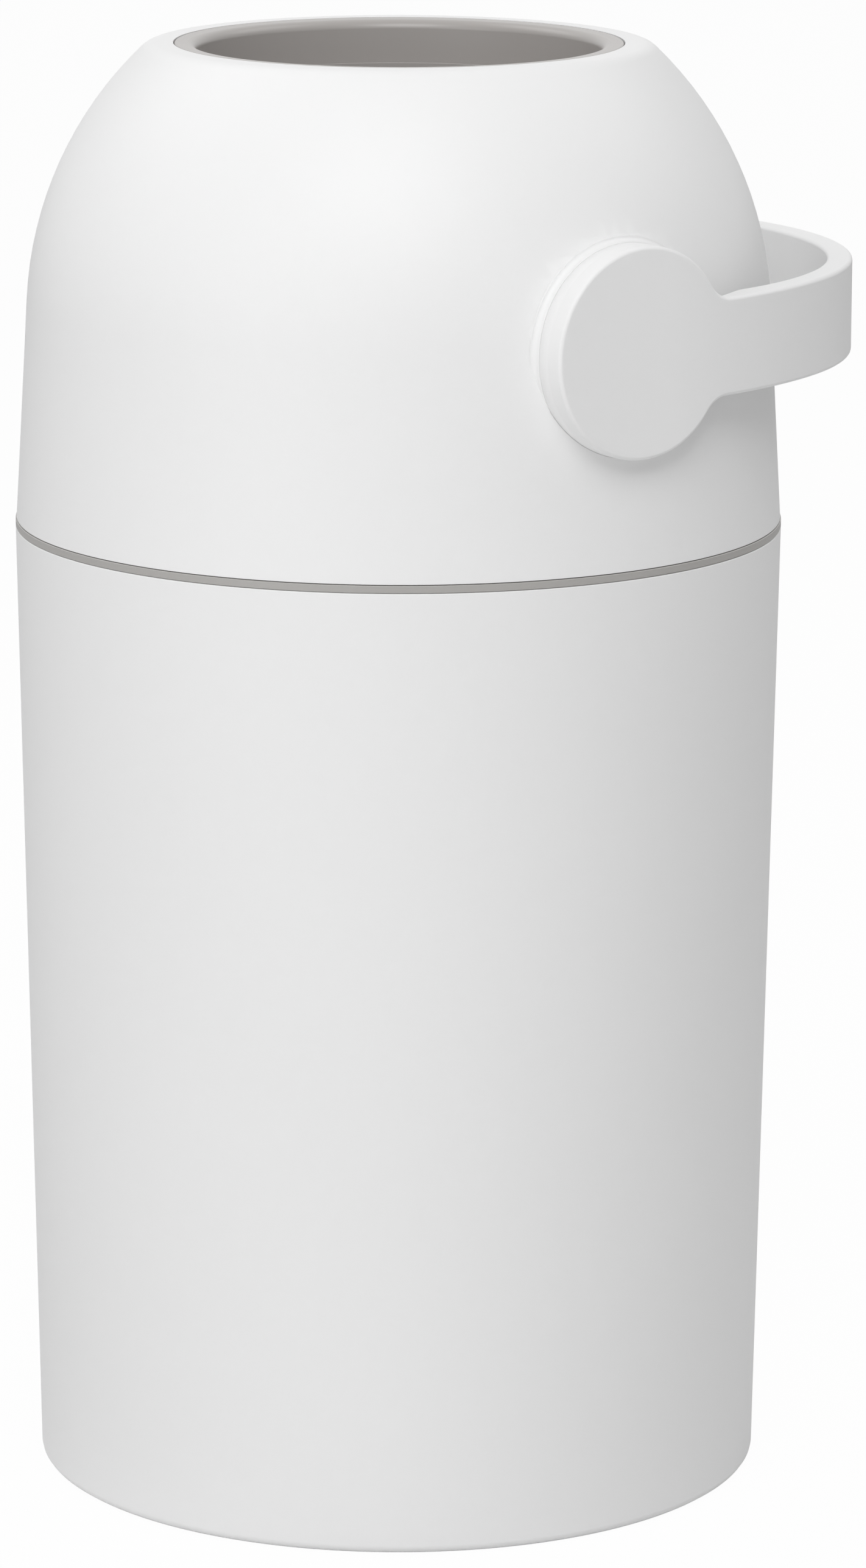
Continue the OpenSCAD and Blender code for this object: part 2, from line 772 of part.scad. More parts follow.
module handle() color(white)
    difference() {
        union() {
            on_pivot() intersection() {
                linear_extrude(height = 2 * (disc_r + past), center = true) difference() {
                    bail_outline();
                    bail_inside();
                }
                rotate([90, 0, 0]) linear_extrude(height = far, center = true) handle_side();
            }
            on_front() disc_back_parts();
            on_rear() disc_back_parts();
        }
        for (s = [-1, 1]) translate([fillet_x(s), 0, pivot_z + fillet_z(s)])
            rotate([90, 0, 0]) cylinder(r = arm_fillet + fillet_bite, h = far, center = true);
        on_front() rod(m4[0] + thread_gap, hub_end - key_len - past, hub_screw_end + past);
        on_rear() rod(m4[0] + thread_gap, hub_end - key_len - past, hub_screw_end + past);
    }

module hub_screws() color(steel) {
    on_front() translate([0, 0, hub_seat]) screw(m4, hub_screw_end - hub_seat);
    on_rear() translate([0, 0, hub_seat]) screw(m4, hub_screw_end - hub_seat);
}

module hub_plugs() color(light_grey)
    difference() {
        union() {
            on_front() rod(hub_bore_r - thread_gap, bore_r - past, bore_r + plug_len);
            on_rear() rod(hub_bore_r - thread_gap, bore_r - past, bore_r + plug_len);
        }
        on_pivot() rod(bore_r + thread_gap, -ball_r, ball_r);
    }

// ---- piston ----

module at_piston_screws()
    round_axis(piston_screw_count, 30) translate([piston_screw_r, 0, 0]) children();

module groove_section()
    box_section(piston_r - groove_depth, far, split_h - groove_h / 2, split_h + groove_h / 2);

// Half section of one half of the piston, open towards the other half
module piston_half_section()
    difference() {
        cup_section(piston_r, 0, split_h, 0, piston_round);
        difference() {
            box_section(0, piston_r - piston_wall, piston_floor, split_h + past);
            box_section(piston_r - groove_depth - piston_wall, far,
                        split_h - groove_h / 2 - piston_wall, split_h);
        }
        groove_section();
    }

module piston_lower() color(light_grey)
    translate([0, 0, piston_z]) difference() {
        union() {
            rotate_extrude() piston_half_section();
            tube(weight_r + weight_gap + weight_fence, weight_r + weight_gap,
                 piston_floor - eps, piston_floor + weight_t - 1);
            at_piston_screws() rod(piston_boss_r, sink, split_h);
        }
        at_piston_screws() rod(m35[0] + head_gap, -past, split_h + past);
        at_piston_screws() rod(m35[1] + head_gap, -past, piston_screw_sink);
    }

module piston_upper() color(light_grey)
    translate([0, 0, piston_z + piston_h]) mirror([0, 0, 1]) difference() {
        union() {
            rotate_extrude() piston_half_section();
            mirror([0, 1, 0]) at_piston_screws() rod(piston_boss_r, sink, split_h);
        }
        mirror([0, 1, 0]) at_piston_screws()
            rod(m35[0] + thread_gap, piston_floor, split_h + past);
    }

module piston_seal() color(rubber_grey)
    translate([0, 0, piston_z]) rotate_extrude() {
        lip = groove_h / 2 - groove_gap;
        root = piston_r - groove_depth + groove_gap;
        polygon([[root, split_h - lip], [piston_r, split_h - lip],
                 [piston_seal_r, split_h - lip - seal_lip_h], [piston_seal_r, split_h - lip],
                 [piston_r + seal_valley, split_h], [piston_seal_r, split_h + lip],
                 [piston_seal_r, split_h + lip + seal_lip_h], [piston_r, split_h + lip],
                 [root, split_h + lip]]);
    }

module piston_weight() color(steel)
    translate([0, 0, piston_z]) rod(weight_r, piston_floor, piston_floor + weight_t);

module piston_screws() color(steel)
    translate([0, 0, piston_z + piston_screw_sink])
        at_piston_screws() screw(m35, piston_screw_len);

bin_body();
bag_ring();
ring_seal();
dome_shell();
inlet_collar();
collar_seal();
seat_frame();
seat_seal();
frame_screws();
front_bush();
rear_bush();
bush_screws();
drum_sleeve();
stop_ring();
drum_shell_front();
drum_shell_rear();
shell_screws();
handle();
hub_screws();
hub_plugs();
piston_lower();
piston_upper();
piston_seal();
piston_weight();
piston_screws();
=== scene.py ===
# %% [markdown]
# # A nappy bin with a tumbling drum
# The bin, its bag ring, the domed head, the drum and the piston were engineered as
# solids and arrive here as a fixed frame. This notebook dresses that frame. The big
# mouldings get softly rounded edges, every plastic gets its own grain and gloss, and
# the scene gets a camera, a pale floor and soft studio light.

import json
import math

import bmesh
import bpy
from mathutils import Matrix, Vector


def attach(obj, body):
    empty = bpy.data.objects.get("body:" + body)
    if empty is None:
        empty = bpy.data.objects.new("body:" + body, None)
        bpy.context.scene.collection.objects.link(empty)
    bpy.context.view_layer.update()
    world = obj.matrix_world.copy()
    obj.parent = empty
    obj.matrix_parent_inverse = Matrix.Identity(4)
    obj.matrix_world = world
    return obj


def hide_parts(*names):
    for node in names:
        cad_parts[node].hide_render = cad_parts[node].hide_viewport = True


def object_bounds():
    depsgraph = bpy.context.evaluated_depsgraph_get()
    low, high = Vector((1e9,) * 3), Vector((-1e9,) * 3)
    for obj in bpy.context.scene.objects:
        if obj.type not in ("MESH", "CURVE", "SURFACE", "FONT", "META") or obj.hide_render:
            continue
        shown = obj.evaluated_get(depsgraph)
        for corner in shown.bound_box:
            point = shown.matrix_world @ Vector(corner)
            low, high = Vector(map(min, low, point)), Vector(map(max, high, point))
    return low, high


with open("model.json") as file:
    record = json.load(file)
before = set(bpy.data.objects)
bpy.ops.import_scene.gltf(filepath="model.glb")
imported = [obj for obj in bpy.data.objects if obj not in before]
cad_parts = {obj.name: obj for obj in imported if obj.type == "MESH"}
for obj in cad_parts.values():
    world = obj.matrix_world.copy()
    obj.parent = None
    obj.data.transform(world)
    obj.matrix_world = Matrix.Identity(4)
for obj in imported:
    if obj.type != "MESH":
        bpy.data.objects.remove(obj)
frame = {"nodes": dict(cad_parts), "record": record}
cad_box = [list(corner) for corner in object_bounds()]
nodes = frame["nodes"]
bodies = frame["record"]["behaviour"]["bodies"]
body_of_node = {name: body for body, members in bodies.items() for name in members}
slot_of_node = {s["node"]: s["material_slot"] for s in frame["record"]["subparts"]}
MM = 0.001
print(len(nodes), "nodes; box in mm:", [[round(v / MM, 1) for v in corner] for corner in cad_box])

# %% [markdown]
# ## Camera
# The photograph was taken from 2.4 m away with a long lens, a little above the bin,
# so the sides stay almost parallel and the inlet shows as a thin ellipse. A camera can be
# placed by eye, but then no edge lies quite where it does in the picture, so these numbers
# come from a fit to the bin's outline. The picture was cropped off centre, which a small
# sideways lens shift repeats.

# %% Camera
CAMERA_TURN = math.radians(-36.5)       # round the bin, from straight in front of a disc
CAMERA_AWAY = 2290.5 * MM               # on the floor, from the bin's axis
CAMERA_HEIGHT = 749.1 * MM
CAMERA_PITCH = 0.2206                   # radians, looking down
CAMERA_ROLL = 0.0018                    # radians
SENSOR = 36                             # millimetres on the picture's long side
LENS = 156.9                            # millimetres
SHIFT_X = 0.0224                        # share of the picture's long side
CLIP_NEAR = 0.05                        # metres
CLIP_FAR = 60

lens = bpy.data.cameras.new("camera")
lens.lens = LENS
lens.sensor_width = SENSOR
lens.shift_x = SHIFT_X
lens.clip_start = CLIP_NEAR
lens.clip_end = CLIP_FAR
camera = bpy.data.objects.new("camera", lens)
camera.location = (
    CAMERA_AWAY * math.sin(CAMERA_TURN), -CAMERA_AWAY * math.cos(CAMERA_TURN), CAMERA_HEIGHT,
)
camera.rotation_euler = (
    Matrix.Rotation(CAMERA_TURN, 3, "Z")
    @ Matrix.Rotation(math.pi / 2 - CAMERA_PITCH, 3, "X")
    @ Matrix.Rotation(CAMERA_ROLL, 3, "Z")
).to_euler()
bpy.context.scene.collection.objects.link(camera)
bpy.context.scene.camera = camera
bpy.context.scene.view_settings.view_transform = "Standard"
print("camera at", [round(v, 3) for v in camera.location])

# %% [markdown]
# ## Light
# The plastic is white on white, so its shape shows only through slow gradients. A broad
# soft source stands high over the camera, a weaker one low on its left, and one more
# behind the bin on each side. Nothing comes from the right in front, so the body falls off
# to a pale grey there. Sun or point lamps would draw hard steps on the dome; large discs
# give the even slopes of a photo studio. Each lamp is placed by its direction from the bin,
# turned with the camera.

# %% Lamps
LAMP_DISTANCE = 2.6                     # metres
LAMP_AIM = Vector((0, 0, 0.25))         # the middle of the bin
LAMPS = [
    # name, azimuth from the camera (left is negative), elevation, size in metres, watts
    ("key_high", -5, 48, 1.7, 31.0),
    ("left_low", -40, 12, 1.7, 10.0),
    ("left_behind", -120, 48, 1.7, 11.2),
    ("right_behind", 110, 48, 1.7, 10.4),
]


def add_lamp(name, azimuth, elevation, size, watts):
    a = CAMERA_TURN + math.radians(azimuth)
    e = math.radians(elevation)
    way = Vector((math.sin(a) * math.cos(e), -math.cos(a) * math.cos(e), math.sin(e)))
    lamp = bpy.data.lights.new(name, "AREA")
    lamp.shape = "DISK"
    lamp.size = size
    lamp.energy = watts
    ob = bpy.data.objects.new(name, lamp)
    ob.location = LAMP_AIM + way * LAMP_DISTANCE
    ob.rotation_euler = way.to_track_quat("Z", "Y").to_euler()
    bpy.context.scene.collection.objects.link(ob)


for row in LAMPS:
    add_lamp(*row)
print(len(LAMPS), "lamps")

# %% [markdown]
# ## World
# The world glows evenly and faintly. The camera, and whatever mirrors in gloss, sees it as
# a plain white backdrop instead, so that the white behind the bin costs no extra light.

# %% World
WORLD_GLOW = 0.32                       # even light from all round
WHITE = (1, 1, 1, 1)
PLAIN_WHITE = 1.0                       # the strength at which a glow renders as white paper

world = bpy.data.worlds.new("studio")
bpy.context.scene.world = world
world.use_nodes = True
wt = world.node_tree
wt.nodes.clear()
glow = wt.nodes.new("ShaderNodeBackground")
glow.inputs["Color"].default_value = WHITE
glow.inputs["Strength"].default_value = WORLD_GLOW
seen = wt.nodes.new("ShaderNodeBackground")
seen.inputs["Color"].default_value = WHITE
seen.inputs["Strength"].default_value = PLAIN_WHITE
ray = wt.nodes.new("ShaderNodeLightPath")
pick = wt.nodes.new("ShaderNodeMixShader")
out = wt.nodes.new("ShaderNodeOutputWorld")
either = wt.nodes.new("ShaderNodeMath")
either.operation = "MAXIMUM"
wt.links.new(ray.outputs["Is Camera Ray"], either.inputs[0])
wt.links.new(ray.outputs["Is Glossy Ray"], either.inputs[1])
wt.links.new(either.outputs["Value"], pick.inputs["Fac"])
wt.links.new(glow.outputs["Background"], pick.inputs[1])
wt.links.new(seen.outputs["Background"], pick.inputs[2])
wt.links.new(pick.outputs["Shader"], out.inputs["Surface"])
print("world glow", WORLD_GLOW)

# %% [markdown]
# ## Floor
# The bin stands on white paper. More light would turn any floor white, and would wash out
# the bin with it. So the camera sees mostly a plain white here, mixed with a little of a
# pale matt floor, which keeps the soft shadow in which the bin stands.

# %% Floor
FLOOR_HALF = 30.0                       # metres from its middle to its edge
FLOOR_BELOW = 0.2 * MM                  # a hair under the bin, so the two never flicker
FLOOR_GREY = (0.8, 0.8, 0.8, 1)
FLOOR_WHITE_SHARE = 0.97                # how much of what the camera sees is plain white

bm = bmesh.new()
bmesh.ops.create_grid(bm, x_segments=1, y_segments=1, size=FLOOR_HALF)
bmesh.ops.translate(bm, vec=(0, 0, -FLOOR_BELOW), verts=bm.verts)
floor_mesh = bpy.data.meshes.new("floor")
bm.to_mesh(floor_mesh)
bm.free()
floor = bpy.data.objects.new("floor", floor_mesh)
bpy.context.scene.collection.objects.link(floor)
paper = bpy.data.materials.new("paper_floor")
paper.use_nodes = True
pt = paper.node_tree
pt.nodes.clear()
matt = pt.nodes.new("ShaderNodeBsdfDiffuse")
matt.inputs["Color"].default_value = FLOOR_GREY
plain = pt.nodes.new("ShaderNodeEmission")
plain.inputs["Color"].default_value = WHITE
plain.inputs["Strength"].default_value = PLAIN_WHITE
ray = pt.nodes.new("ShaderNodeLightPath")
share = pt.nodes.new("ShaderNodeMath")
share.operation = "MULTIPLY"
share.inputs[1].default_value = FLOOR_WHITE_SHARE
pick = pt.nodes.new("ShaderNodeMixShader")
out = pt.nodes.new("ShaderNodeOutputMaterial")
pt.links.new(ray.outputs["Is Camera Ray"], share.inputs[0])
pt.links.new(share.outputs["Value"], pick.inputs["Fac"])
pt.links.new(matt.outputs["BSDF"], pick.inputs[1])
pt.links.new(plain.outputs["Emission"], pick.inputs[2])
pt.links.new(pick.outputs["Shader"], out.inputs["Surface"])
floor_mesh.materials.append(paper)
print("floor", FLOOR_HALF * 2, "m wide")

# %% [markdown]
# ## Surface effects
# Two effects come back in every material, so each is a node group, built once and given
# its own values in each material. `spark_grain` is the fine pitted skin that a spark-eroded
# mould leaves on a matt moulding. `slow_tone` is the faint, wide unevenness of colour and
# gloss that any moulded surface has. Both are noise on Object coordinates, which needs no
# unwrapping and stays on a piece when the piece moves.

# %% Node group helpers
def new_group(name, inputs, outputs):
    group = bpy.data.node_groups.new(name, "ShaderNodeTree")
    for label, kind, value in inputs:
        socket = group.interface.new_socket(name=label, in_out="INPUT", socket_type=kind)
        socket.default_value = value
    for label, kind in outputs:
        group.interface.new_socket(name=label, in_out="OUTPUT", socket_type=kind)
    return group, group.nodes.new("NodeGroupInput"), group.nodes.new("NodeGroupOutput")


def math_node(tree, operation, a, b):
    node = tree.nodes.new("ShaderNodeMath")
    node.operation = operation
    for socket, value in zip(node.inputs, (a, b)):
        if isinstance(value, (int, float)):
            socket.default_value = value
        else:
            tree.links.new(value, socket)
    return node.outputs["Value"]


# %% Group: spark grain
GRAIN_DETAIL = 3.0
GRAIN_ROUGHNESS = 0.6

grain_group, gin, gout = new_group(
    "spark_grain",
    [("Pitch", "NodeSocketFloat", 900.0), ("Depth", "NodeSocketFloat", 0.00001)],
    [("Height", "NodeSocketFloat")],
)
where = grain_group.nodes.new("ShaderNodeTexCoord")
fine = grain_group.nodes.new("ShaderNodeTexNoise")
fine.inputs["Detail"].default_value = GRAIN_DETAIL
fine.inputs["Roughness"].default_value = GRAIN_ROUGHNESS
grain_group.links.new(where.outputs["Object"], fine.inputs["Vector"])
grain_group.links.new(gin.outputs["Pitch"], fine.inputs["Scale"])
height = math_node(grain_group, "MULTIPLY", fine.outputs["Fac"], gin.outputs["Depth"])
grain_group.links.new(height, gout.inputs["Height"])
print("group", grain_group.name)

# %% Group: slow tone
CLOUD_SCALE = 9.0                       # clouds to the metre
CLOUD_DETAIL = 2.0
CLOUD_MIDDLE = 0.5                      # the noise's mean, taken off so that it swings both ways

tone_group, tin, tout = new_group(
    "slow_tone",
    [("Color", "NodeSocketColor", (0.8, 0.8, 0.8, 1)), ("Amount", "NodeSocketFloat", 0.02),
     ("Roughness", "NodeSocketFloat", 0.5), ("Spread", "NodeSocketFloat", 0.04)],
    [("Color", "NodeSocketColor"), ("Roughness", "NodeSocketFloat")],
)
where = tone_group.nodes.new("ShaderNodeTexCoord")
cloud = tone_group.nodes.new("ShaderNodeTexNoise")
cloud.inputs["Scale"].default_value = CLOUD_SCALE
cloud.inputs["Detail"].default_value = CLOUD_DETAIL
tone_group.links.new(where.outputs["Object"], cloud.inputs["Vector"])
swing = math_node(tone_group, "SUBTRACT", cloud.outputs["Fac"], CLOUD_MIDDLE)
shade = math_node(tone_group, "MULTIPLY", swing, tin.outputs["Amount"])
level = math_node(tone_group, "ADD", shade, 1.0)
tint = tone_group.nodes.new("ShaderNodeVectorMath")
tint.operation = "SCALE"
tone_group.links.new(tin.outputs["Color"], tint.inputs[0])
tone_group.links.new(level, tint.inputs["Scale"])
tone_group.links.new(tint.outputs["Vector"], tout.inputs["Color"])
rub = math_node(tone_group, "MULTIPLY", swing, tin.outputs["Spread"])
gloss = math_node(tone_group, "ADD", rub, tin.outputs["Roughness"])
tone_group.links.new(gloss, tout.inputs["Roughness"])
print("group", tone_group.name)

# %% [markdown]
# ## Plastics, rubber and steel
# The shell is white polypropylene with a fine matt grain. The collar, the band and the
# drum are greyer mouldings of the same kind, the bushes are smooth acetal, the sealing
# rings matt rubber, the fasteners zinc-plated steel and the piston's weight plain steel.
# One function builds them all, because they differ only in colour, gloss and grain.

# %% Materials
def srgb(r, g, b):
    """Linear colour from sRGB numbers up to 255."""
    def one(v):
        v /= 255
        return v / 12.92 if v <= 0.04045 else ((v + 0.055) / 1.055) ** 2.4
    return (one(r), one(g), one(b), 1)


PLASTIC_IOR = 1.5


def plastic(name, colour, roughness, pitch, depth, tone=0.02, metallic=0.0):
    """A material whose grain has this many pits to the metre and this depth in metres."""
    material = bpy.data.materials.new(name)
    material.use_nodes = True
    tree = material.node_tree
    bsdf = tree.nodes["Principled BSDF"]
    bsdf.inputs["IOR"].default_value = PLASTIC_IOR
    bsdf.inputs["Metallic"].default_value = metallic
    slow = tree.nodes.new("ShaderNodeGroup")
    slow.node_tree = tone_group
    slow.inputs["Color"].default_value = colour
    slow.inputs["Amount"].default_value = tone
    slow.inputs["Roughness"].default_value = roughness
    tree.links.new(slow.outputs["Color"], bsdf.inputs["Base Color"])
    tree.links.new(slow.outputs["Roughness"], bsdf.inputs["Roughness"])
    grain = tree.nodes.new("ShaderNodeGroup")
    grain.node_tree = grain_group
    grain.inputs["Pitch"].default_value = pitch
    grain.inputs["Depth"].default_value = depth
    bump = tree.nodes.new("ShaderNodeBump")
    bump.inputs["Strength"].default_value = 1.0
    bump.inputs["Distance"].default_value = 1.0     # the group's height is in metres already
    tree.links.new(grain.outputs["Height"], bump.inputs["Height"])
    tree.links.new(bump.outputs["Normal"], bsdf.inputs["Normal"])
    print("material", name)
    return material


MATERIALS = {
    "shell_white": plastic("white_polypropylene", srgb(240, 240, 240), 0.5, 1500, 0.00002),
    "collar_grey": plastic("grey_satin_moulding", srgb(172, 168, 165), 0.32, 1500, 0.00001),
    "band_grey": plastic("grey_band_moulding", srgb(174, 172, 169), 0.36, 1500, 0.00002),
    "inner_grey": plastic("inner_moulding", srgb(200, 200, 199), 0.5, 1200, 0.00003),
    "bush_plastic": plastic("smooth_acetal", srgb(224, 223, 218), 0.3, 2500, 0.000005),
    "seal_rubber": plastic("matt_rubber", srgb(70, 70, 72), 0.7, 1800, 0.00003, tone=0.08),
    "screw_steel": plastic("zinc_plated_steel", srgb(200, 202, 206), 0.3, 3000, 0.00001,
                           tone=0.1, metallic=1.0),
    "weight_steel": plastic("plain_steel", srgb(150, 150, 152), 0.45, 1200, 0.00003,
                            tone=0.15, metallic=1.0),
}
for name, node in nodes.items():
    node.data.materials.clear()
    node.data.materials.append(MATERIALS[slot_of_node[name]])
print(len(nodes), "nodes dressed")

# %% [markdown]
# ## Shaping helpers
# A moulding never has a knife edge: its mould leaves a small radius on each corner. Every
# piece below therefore gets its edges rounded. Plain smooth shading would bend the light on
# the flat faces too, so weighted normals keep large faces calm and let only the narrow
# roundings catch the light.

# %% Making a piece from a bmesh
EDGE_BREAK = 0.35                       # millimetres, on edges that a bevel modifier rounds
EDGE_BREAK_STEPS = 2
FACE_WEIGHT = 100                       # the largest: shading follows the largest faces


def finish_mesh(bm, name, material, body, replaced, weighted_bevel=False):
    """Makes a piece from a bmesh in millimetres and fastens it to its body."""
    bmesh.ops.scale(bm, vec=(MM, MM, MM), verts=bm.verts)
    mesh = bpy.data.meshes.new(name)
    for face in bm.faces:
        face.smooth = True
    bm.to_mesh(mesh)
    bm.free()
    ob = bpy.data.objects.new(name, mesh)
    bpy.context.scene.collection.objects.link(ob)
    mesh.materials.append(MATERIALS[material])
    if weighted_bevel:
        bevel = ob.modifiers.new("broken_edges", "BEVEL")
        bevel.width = EDGE_BREAK * MM
        bevel.segments = EDGE_BREAK_STEPS
        bevel.limit_method = "WEIGHT"
        bevel.use_clamp_overlap = True
    calm = ob.modifiers.new("weighted_normals", "WEIGHTED_NORMAL")
    calm.keep_sharp = True
    calm.weight = FACE_WEIGHT
    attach(ob, body)
    for node in replaced:
        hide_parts(node)
    print(name, len(mesh.polygons), "faces")
    return ob


# %% [markdown]
# ## Turned pieces
# Round mouldings could be put together from cylinders, but then each corner would need a
# rounding of its own afterwards. Here they are turned, as on a lathe. A few points draw
# half the section, a vertex bevel rounds each corner by its own radius, and a spin sweeps
# the section round the bin's axis. The wall keeps its real thickness, inside and out.

# %% Turning a section
TURN_STEPS = 256
ROUND_STEPS = 4                         # faces across a rounded corner
TURN_MERGE = 0.0005                     # millimetres; points on the axis fall together
CRISP = 0.2                             # the smallest corner radius, in grooves and seats


def turn_section(bm, points, steps=TURN_STEPS):
    """Spins half a section round the bin's axis. Each point is radius, height, rounding."""
    corners = [bm.verts.new((r, 0, z)) for r, z, _ in points]
    edges = [bm.edges.new(pair) for pair in zip(corners, corners[1:])]
    starts_on_axis = points[0][0] == 0
    if not starts_on_axis:
        edges.append(bm.edges.new((corners[-1], corners[0])))
    for radius in sorted({p[2] for p in points if p[2] > 0}):
        chosen = [v for v, p in zip(corners, points) if p[2] == radius]
        bmesh.ops.bevel(bm, geom=chosen, offset=radius, offset_type="OFFSET",
                        segments=ROUND_STEPS, profile=0.5, affect="VERTICES", material=-1)
    bmesh.ops.spin(bm, geom=bm.verts[:] + bm.edges[:], cent=(0, 0, 0), axis=(0, 0, 1),
                   dvec=(0, 0, 0), angle=2 * math.pi, steps=steps, use_merge=True,
                   use_duplicate=False)
    bmesh.ops.remove_doubles(bm, verts=bm.verts, dist=TURN_MERGE)


def turned(name, material, body, points, replaced):
    """A piece that is one turned section and nothing else."""
    bm = bmesh.new()
    turn_section(bm, points)
    bmesh.ops.recalc_face_normals(bm, faces=bm.faces)
    finish_mesh(bm, name, material, body, replaced)


# %% [markdown]
# ## Bin
# The bin is a deep tub that narrows a little towards its foot, so that it leaves its
# mould. A scaled cylinder with a Solidify modifier would come close. A turned section is
# as quick, and gives the foot, the inside and the rim each their own rounding.

# %% Bin
BIN_H = 327.3
RIM_R = 130.03
FOOT_R = 124.03
BIN_WALL = 2.8
BIN_FLOOR = 3.5
BIN_LEAN = (RIM_R - FOOT_R) / BIN_H     # how much wider the bin gets for each millimetre up
FOOT_ROUND = 3.0
INSIDE_ROUND = FOOT_ROUND + 1.0
BIN_RIM_ROUND = 0.45

turned("bin_tub", "shell_white", "bin", [
    (0, 0, 0), (FOOT_R, 0, FOOT_ROUND),
    (RIM_R, BIN_H, BIN_RIM_ROUND), (RIM_R - BIN_WALL, BIN_H, BIN_RIM_ROUND),
    (FOOT_R + BIN_FLOOR * BIN_LEAN - BIN_WALL, BIN_FLOOR, INSIDE_ROUND), (0, BIN_FLOOR, 0),
], ["bin_body"])

# %% [markdown]
# ## Bag ring
# The grey ring clamps the bag's cuff inside the bin. Only its band shows, as a thin line
# between bin and dome. A groove in its top holds a sealing ring. Two fine slots, one over
# the band and one under it, give the dark lines that show where separate pieces meet. They
# are drawn into the section, because a real slot stays dark in every light.

# %% Bag ring
BAND_Z = 330.2
SKIRT_R = 126.43
SKIRT_INNER_R = 124.03
SKIRT_END = 311.3
GROOVE_IN = 125.43
GROOVE_OUT = 127.63
GROOVE_DEPTH = 1.6
SKIRT_ROUND = 0.8                       # the skirt's end, which slides past the bag's cuff
BAND_TOP_ROUND = 0.25
INNER_TOP_ROUND = 0.3
UPPER_SLOT = 0.3                        # height of the dark line over the band
LOWER_SLOT = 0.15                       # and of the one under it
SLOT_DEPTH = 1.2

turned("bag_clamp_ring", "band_grey", "bag_ring", [
    (SKIRT_INNER_R, SKIRT_END, SKIRT_ROUND), (SKIRT_R, SKIRT_END, SKIRT_ROUND),
    (SKIRT_R, BIN_H, CRISP),
    (RIM_R - SLOT_DEPTH, BIN_H, 0), (RIM_R - SLOT_DEPTH, BIN_H + LOWER_SLOT, 0),
    (RIM_R, BIN_H + LOWER_SLOT, CRISP), (RIM_R, BAND_Z - UPPER_SLOT, BAND_TOP_ROUND),
    (RIM_R - SLOT_DEPTH, BAND_Z - UPPER_SLOT, 0), (RIM_R - SLOT_DEPTH, BAND_Z, 0),
    (GROOVE_OUT, BAND_Z, CRISP), (GROOVE_OUT, BAND_Z - GROOVE_DEPTH, CRISP),
    (GROOVE_IN, BAND_Z - GROOVE_DEPTH, CRISP), (GROOVE_IN, BAND_Z, CRISP),
    (SKIRT_INNER_R, BAND_Z, INNER_TOP_ROUND),
], ["bag_ring"])

# %% [markdown]
# ## Inlet collar
# The collar is a sleeve with a thin flat lip that rolls into its bore. It hangs in the
# dome's neck, where four small hooks snap into windows. Its lower end follows the drum's
# ball, half a millimetre away. Sleeve and lip are one turned section. A hook is a cube,
# scaled and moved into place, with its edges bevelled last, while they are easy to pick.

# %% Inlet collar
PIVOT_Z = 402.0
BALL_R = 97.53
COLLAR_R = 68.0
COLLAR_WALL = 2.6
LIP_R = 75.4
LIP_SEAT_Z = 488.4
TOP_Z = 490.6
LIP_DROP = 0.3                          # the lip slopes down to its bore
LIP_ROLL = 3.0                          # radius of the roll from the lip into the bore
LIP_FLAT = 0.1                          # the little flat that keeps roll and slope apart
LIP_ROUND = 0.6
LIP_UNDER_ROUND = 0.4
COLLAR_END_ROUND = 0.3
BALL_GAP = 0.5
SNAPS = 4
SNAP_W = 7.0
SNAP_H = 3.4
SNAP_Z = 480.0
SNAP_REACH = 2.6
SNAP_ROUND = 0.4
SNAP_ROUND_STEPS = 2


def over_ball(radius):
    """Height at which a sleeve of this radius ends over the drum's ball."""
    return PIVOT_Z + math.sqrt((BALL_R + BALL_GAP) ** 2 - radius ** 2)


bm = bmesh.new()
collar_out = COLLAR_R + COLLAR_WALL
turn_section(bm, [
    (COLLAR_R, over_ball(COLLAR_R), COLLAR_END_ROUND),
    (collar_out, over_ball(collar_out), COLLAR_END_ROUND), (collar_out, LIP_SEAT_Z, CRISP),
    (LIP_R, LIP_SEAT_Z, LIP_UNDER_ROUND), (LIP_R, TOP_Z, LIP_ROUND),
    (COLLAR_R + LIP_ROLL + LIP_FLAT, TOP_Z - LIP_DROP, 0), (COLLAR_R, TOP_Z - LIP_DROP, LIP_ROLL),
])
for snap in range(SNAPS):
    hook = bmesh.ops.create_cube(bm, size=1.0)["verts"]
    depth = SNAP_REACH + COLLAR_WALL / 2
    bmesh.ops.scale(bm, vec=(depth, SNAP_W, SNAP_H), verts=hook)
    middle = (collar_out + SNAP_REACH - depth / 2, 0, SNAP_Z + SNAP_H / 2)
    bmesh.ops.translate(bm, vec=middle, verts=hook)
    turn = Matrix.Rotation(snap * 2 * math.pi / SNAPS, 3, "Z")
    bmesh.ops.rotate(bm, cent=(0, 0, 0), matrix=turn, verts=hook)
    around = list({e for v in hook for e in v.link_edges})
    bmesh.ops.bevel(bm, geom=around, offset=SNAP_ROUND, offset_type="OFFSET",
                    segments=SNAP_ROUND_STEPS, profile=0.5, affect="EDGES", material=-1)
bmesh.ops.recalc_face_normals(bm, faces=bm.faces)
finish_mesh(bm, "inlet_collar_moulding", "collar_grey", "head", ["inlet_collar"])

# %% [markdown]
# ## Dome
# The dome is the solid itself: its pads, channels and bosses are cut into each other too
# closely to be turned. A copy of its mesh is merged, and a bevel modifier then breaks
# every sharp edge. Weights on the edges say how much, because the fine line between disc
# and pad needs a smaller radius than the rest. The points on the pad's edge are drawn in
# first, until only a hairline is left round the disc.

# %% Merged copies with broken edges
SHARP = math.radians(32)                # an edge that turns by more than this is a corner
COPY_MERGE = 0.002                      # millimetres


